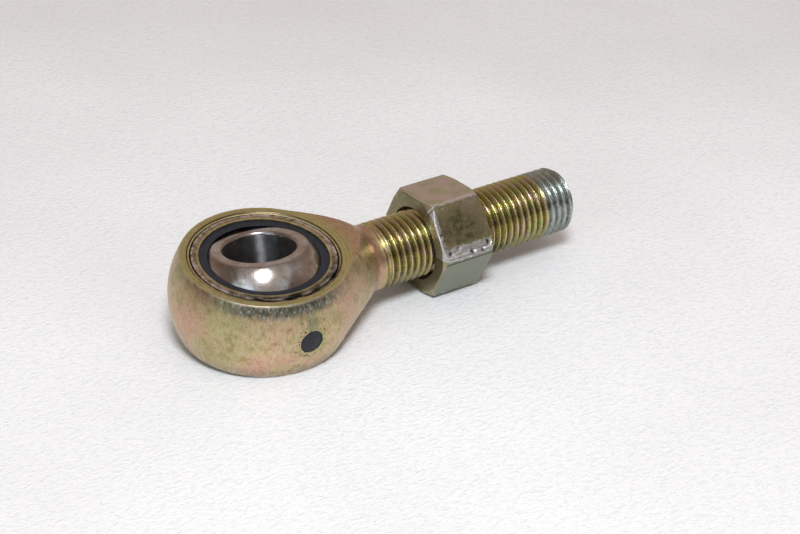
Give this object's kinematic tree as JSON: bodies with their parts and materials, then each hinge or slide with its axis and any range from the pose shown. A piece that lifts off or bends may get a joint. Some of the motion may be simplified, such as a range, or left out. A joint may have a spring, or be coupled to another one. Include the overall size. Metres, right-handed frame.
{
  "type": "rod end bearing",
  "caption": "Male threaded rod end with a tilting lined ball and a hex lock nut, for a pinned linkage end.",
  "frame": {"origin": "centre of the ball, which is also the centre of the head and of the ball's hole", "axes": "+X runs out along the shank to its free end, +Z is square to the head's milled faces, +Y completes the set; the moulding gate is on the -Y side"},
  "size_m": [0.0618, 0.025, 0.0154],
  "materials": {
    "yellow_zinc_steel": "yellow zinc chromate plating with iridescent blotches",
    "race_steel": "plated steel, staked and slightly lumpy",
    "black_nylon": "moulded black nylon, semi-matte",
    "chromed_steel": "polished hard chrome",
    "worn_zinc_steel": "dull olive zinc plating, worn bright at the corners"
  },
  "bodies": {
    "head": {"housing": "yellow_zinc_steel", "race_ring": "race_steel", "liner": "black_nylon"},
    "ball": {"ball": "chromed_steel"},
    "nut": {"lock_nut": "worn_zinc_steel"}
  },
  "joints": [
    {"name": "ball_tilt", "type": "hinge", "parent": "head", "child": "ball", "pos_m": [0, 0, 0], "axis": [1, 0, 0], "range_deg": [-2.3, 27.7]},
    {"name": "nut_travel", "type": "slide", "parent": "head", "child": "nut", "axis": [1, 0, 0], "range_m": [-0.0075, 0.016]}
  ]
}
